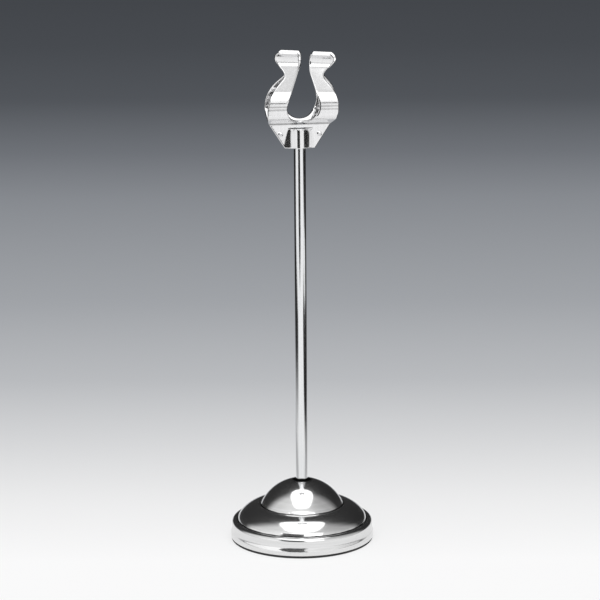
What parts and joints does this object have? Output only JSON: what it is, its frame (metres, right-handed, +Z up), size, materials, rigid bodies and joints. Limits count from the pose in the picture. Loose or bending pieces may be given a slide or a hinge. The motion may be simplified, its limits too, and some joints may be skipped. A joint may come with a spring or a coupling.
{
  "type": "place card holder",
  "caption": "Tabletop place card holder with a weighted chrome bell base, a slim upright rod and a lyre-shaped spring clip whose leaves bend open to grip a card.",
  "frame": {"origin": "middle of the foot, on the table", "axes": "+Z up along the rod; the clip's leaves face -Y and +Y, and a card lies in the XZ plane"},
  "size_m": [0.0584, 0.0584, 0.203],
  "materials": {
    "polished_chrome": "bright chrome plate on pressed steel sheet",
    "rod_chrome": "bright chrome plate on drawn steel bar",
    "spring_chrome": "chrome plate on spring steel sheet, with fine lengthwise polishing lines",
    "rivet_steel": "plated, closed flush with a low head",
    "cast_ballast": "as cast",
    "foot_rubber": "matt black sheet with a fine grain",
    "zinc_fixings": "zinc plated"
  },
  "bodies": {
    "stand": {"base_shell": "polished_chrome", "ballast_weight": "cast_ballast", "foot_pad": "foot_rubber", "rod": "rod_chrome", "flat_washer": "zinc_fixings", "lock_washer": "zinc_fixings", "hex_nut": "zinc_fixings", "front_skirt": "spring_chrome", "rear_skirt": "spring_chrome", "clip_rivets": "rivet_steel"},
    "front_jaw": {"front_jaw": "spring_chrome"},
    "rear_jaw": {"rear_jaw": "spring_chrome"}
  },
  "joints": [
    {"name": "front_flex", "type": "hinge", "parent": "stand", "child": "front_jaw", "pos_m": [0, -0.00083, 0.1727], "axis": [1, 0, 0], "range_deg": [0, 6], "stiffness_Nm_per_rad": 0.35, "springref_deg": -1.72},
    {"name": "rear_flex", "type": "hinge", "parent": "stand", "child": "rear_jaw", "pos_m": [0, 0.00083, 0.1727], "axis": [-1, 0, 0], "range_deg": [0, 6], "stiffness_Nm_per_rad": 0.35, "springref_deg": -1.72}
  ]
}
